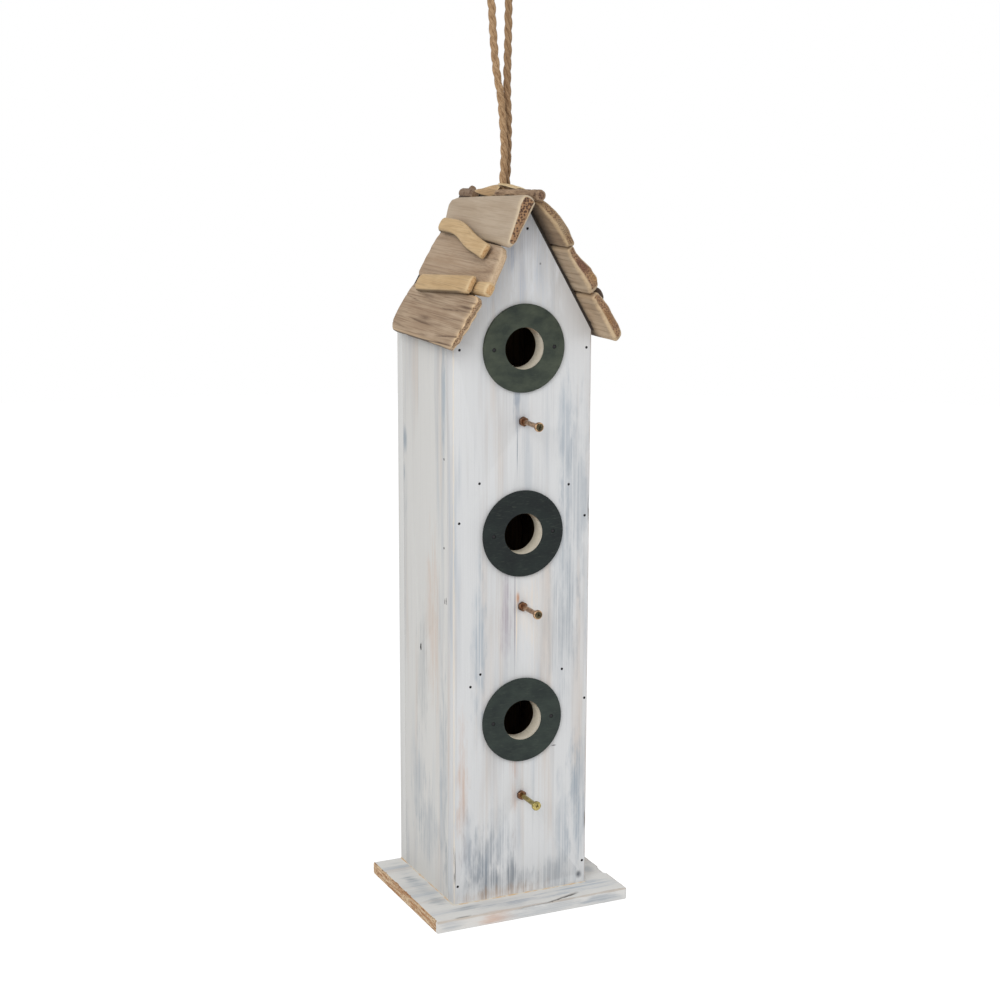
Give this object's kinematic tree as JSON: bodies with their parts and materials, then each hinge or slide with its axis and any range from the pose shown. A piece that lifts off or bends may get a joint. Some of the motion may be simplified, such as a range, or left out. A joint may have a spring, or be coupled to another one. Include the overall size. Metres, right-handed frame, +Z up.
{
  "type": "hanging birdhouse",
  "caption": "Tall narrow hanging birdhouse with three stacked rooms, round entrances with dark plates, screw perches, a driftwood gable roof and a rope loop.",
  "frame": {"origin": "middle of the base plate's underside", "axes": "+Z up along the box, the entrances face -Y, +X is to the right seen from the front"},
  "size_m": [0.172, 0.1481, 0.7809],
  "materials": {
    "whitewashed_pine": "thin white wash over sawn pine, rubbed back along the grain",
    "bare_pine": "unpainted pine inside the box",
    "dark_plate": "thin plate with a dark green-grey stain, matt",
    "zinc_hardware": "yellow zinc plating, slightly dull",
    "dark_ply": "thin dark stained panel",
    "driftwood": "weathered grey-brown driftwood, worn smooth",
    "pale_stick": "pale yellowish driftwood sticks",
    "brown_twig": "dark brown weathered twigs",
    "jute": "three-strand twisted jute rope, hairy"
  },
  "bodies": {
    "root": {"base_plate": "whitewashed_pine", "front_wall": "whitewashed_pine", "back_wall": "whitewashed_pine", "left_wall": "whitewashed_pine", "right_wall": "whitewashed_pine", "middle_floor": "bare_pine", "upper_floor": "bare_pine", "lower_entrance_plate": "dark_plate", "middle_entrance_plate": "dark_plate", "upper_entrance_plate": "dark_plate", "lower_perch_screw": "zinc_hardware", "middle_perch_screw": "zinc_hardware", "upper_perch_screw": "zinc_hardware", "lower_perch_nut": "zinc_hardware", "middle_perch_nut": "zinc_hardware", "upper_perch_nut": "zinc_hardware", "left_roof_panel": "dark_ply", "right_roof_panel": "dark_ply", "left_top_board": "driftwood", "left_middle_board": "driftwood", "left_lower_board": "driftwood", "right_top_board": "driftwood", "right_middle_board": "driftwood", "right_lower_board": "driftwood", "left_wavy_stick": "pale_stick", "left_straight_stick": "pale_stick", "left_stub_stick": "pale_stick", "right_upper_stick": "brown_twig", "right_lower_stick": "brown_twig", "ridge_front_twig": "brown_twig", "ridge_knobbed_twig": "brown_twig", "ridge_left_strip": "pale_stick", "ridge_right_strip": "pale_stick", "hanging_rope": "jute", "rope_knot": "jute"}
  },
  "joints": []
}
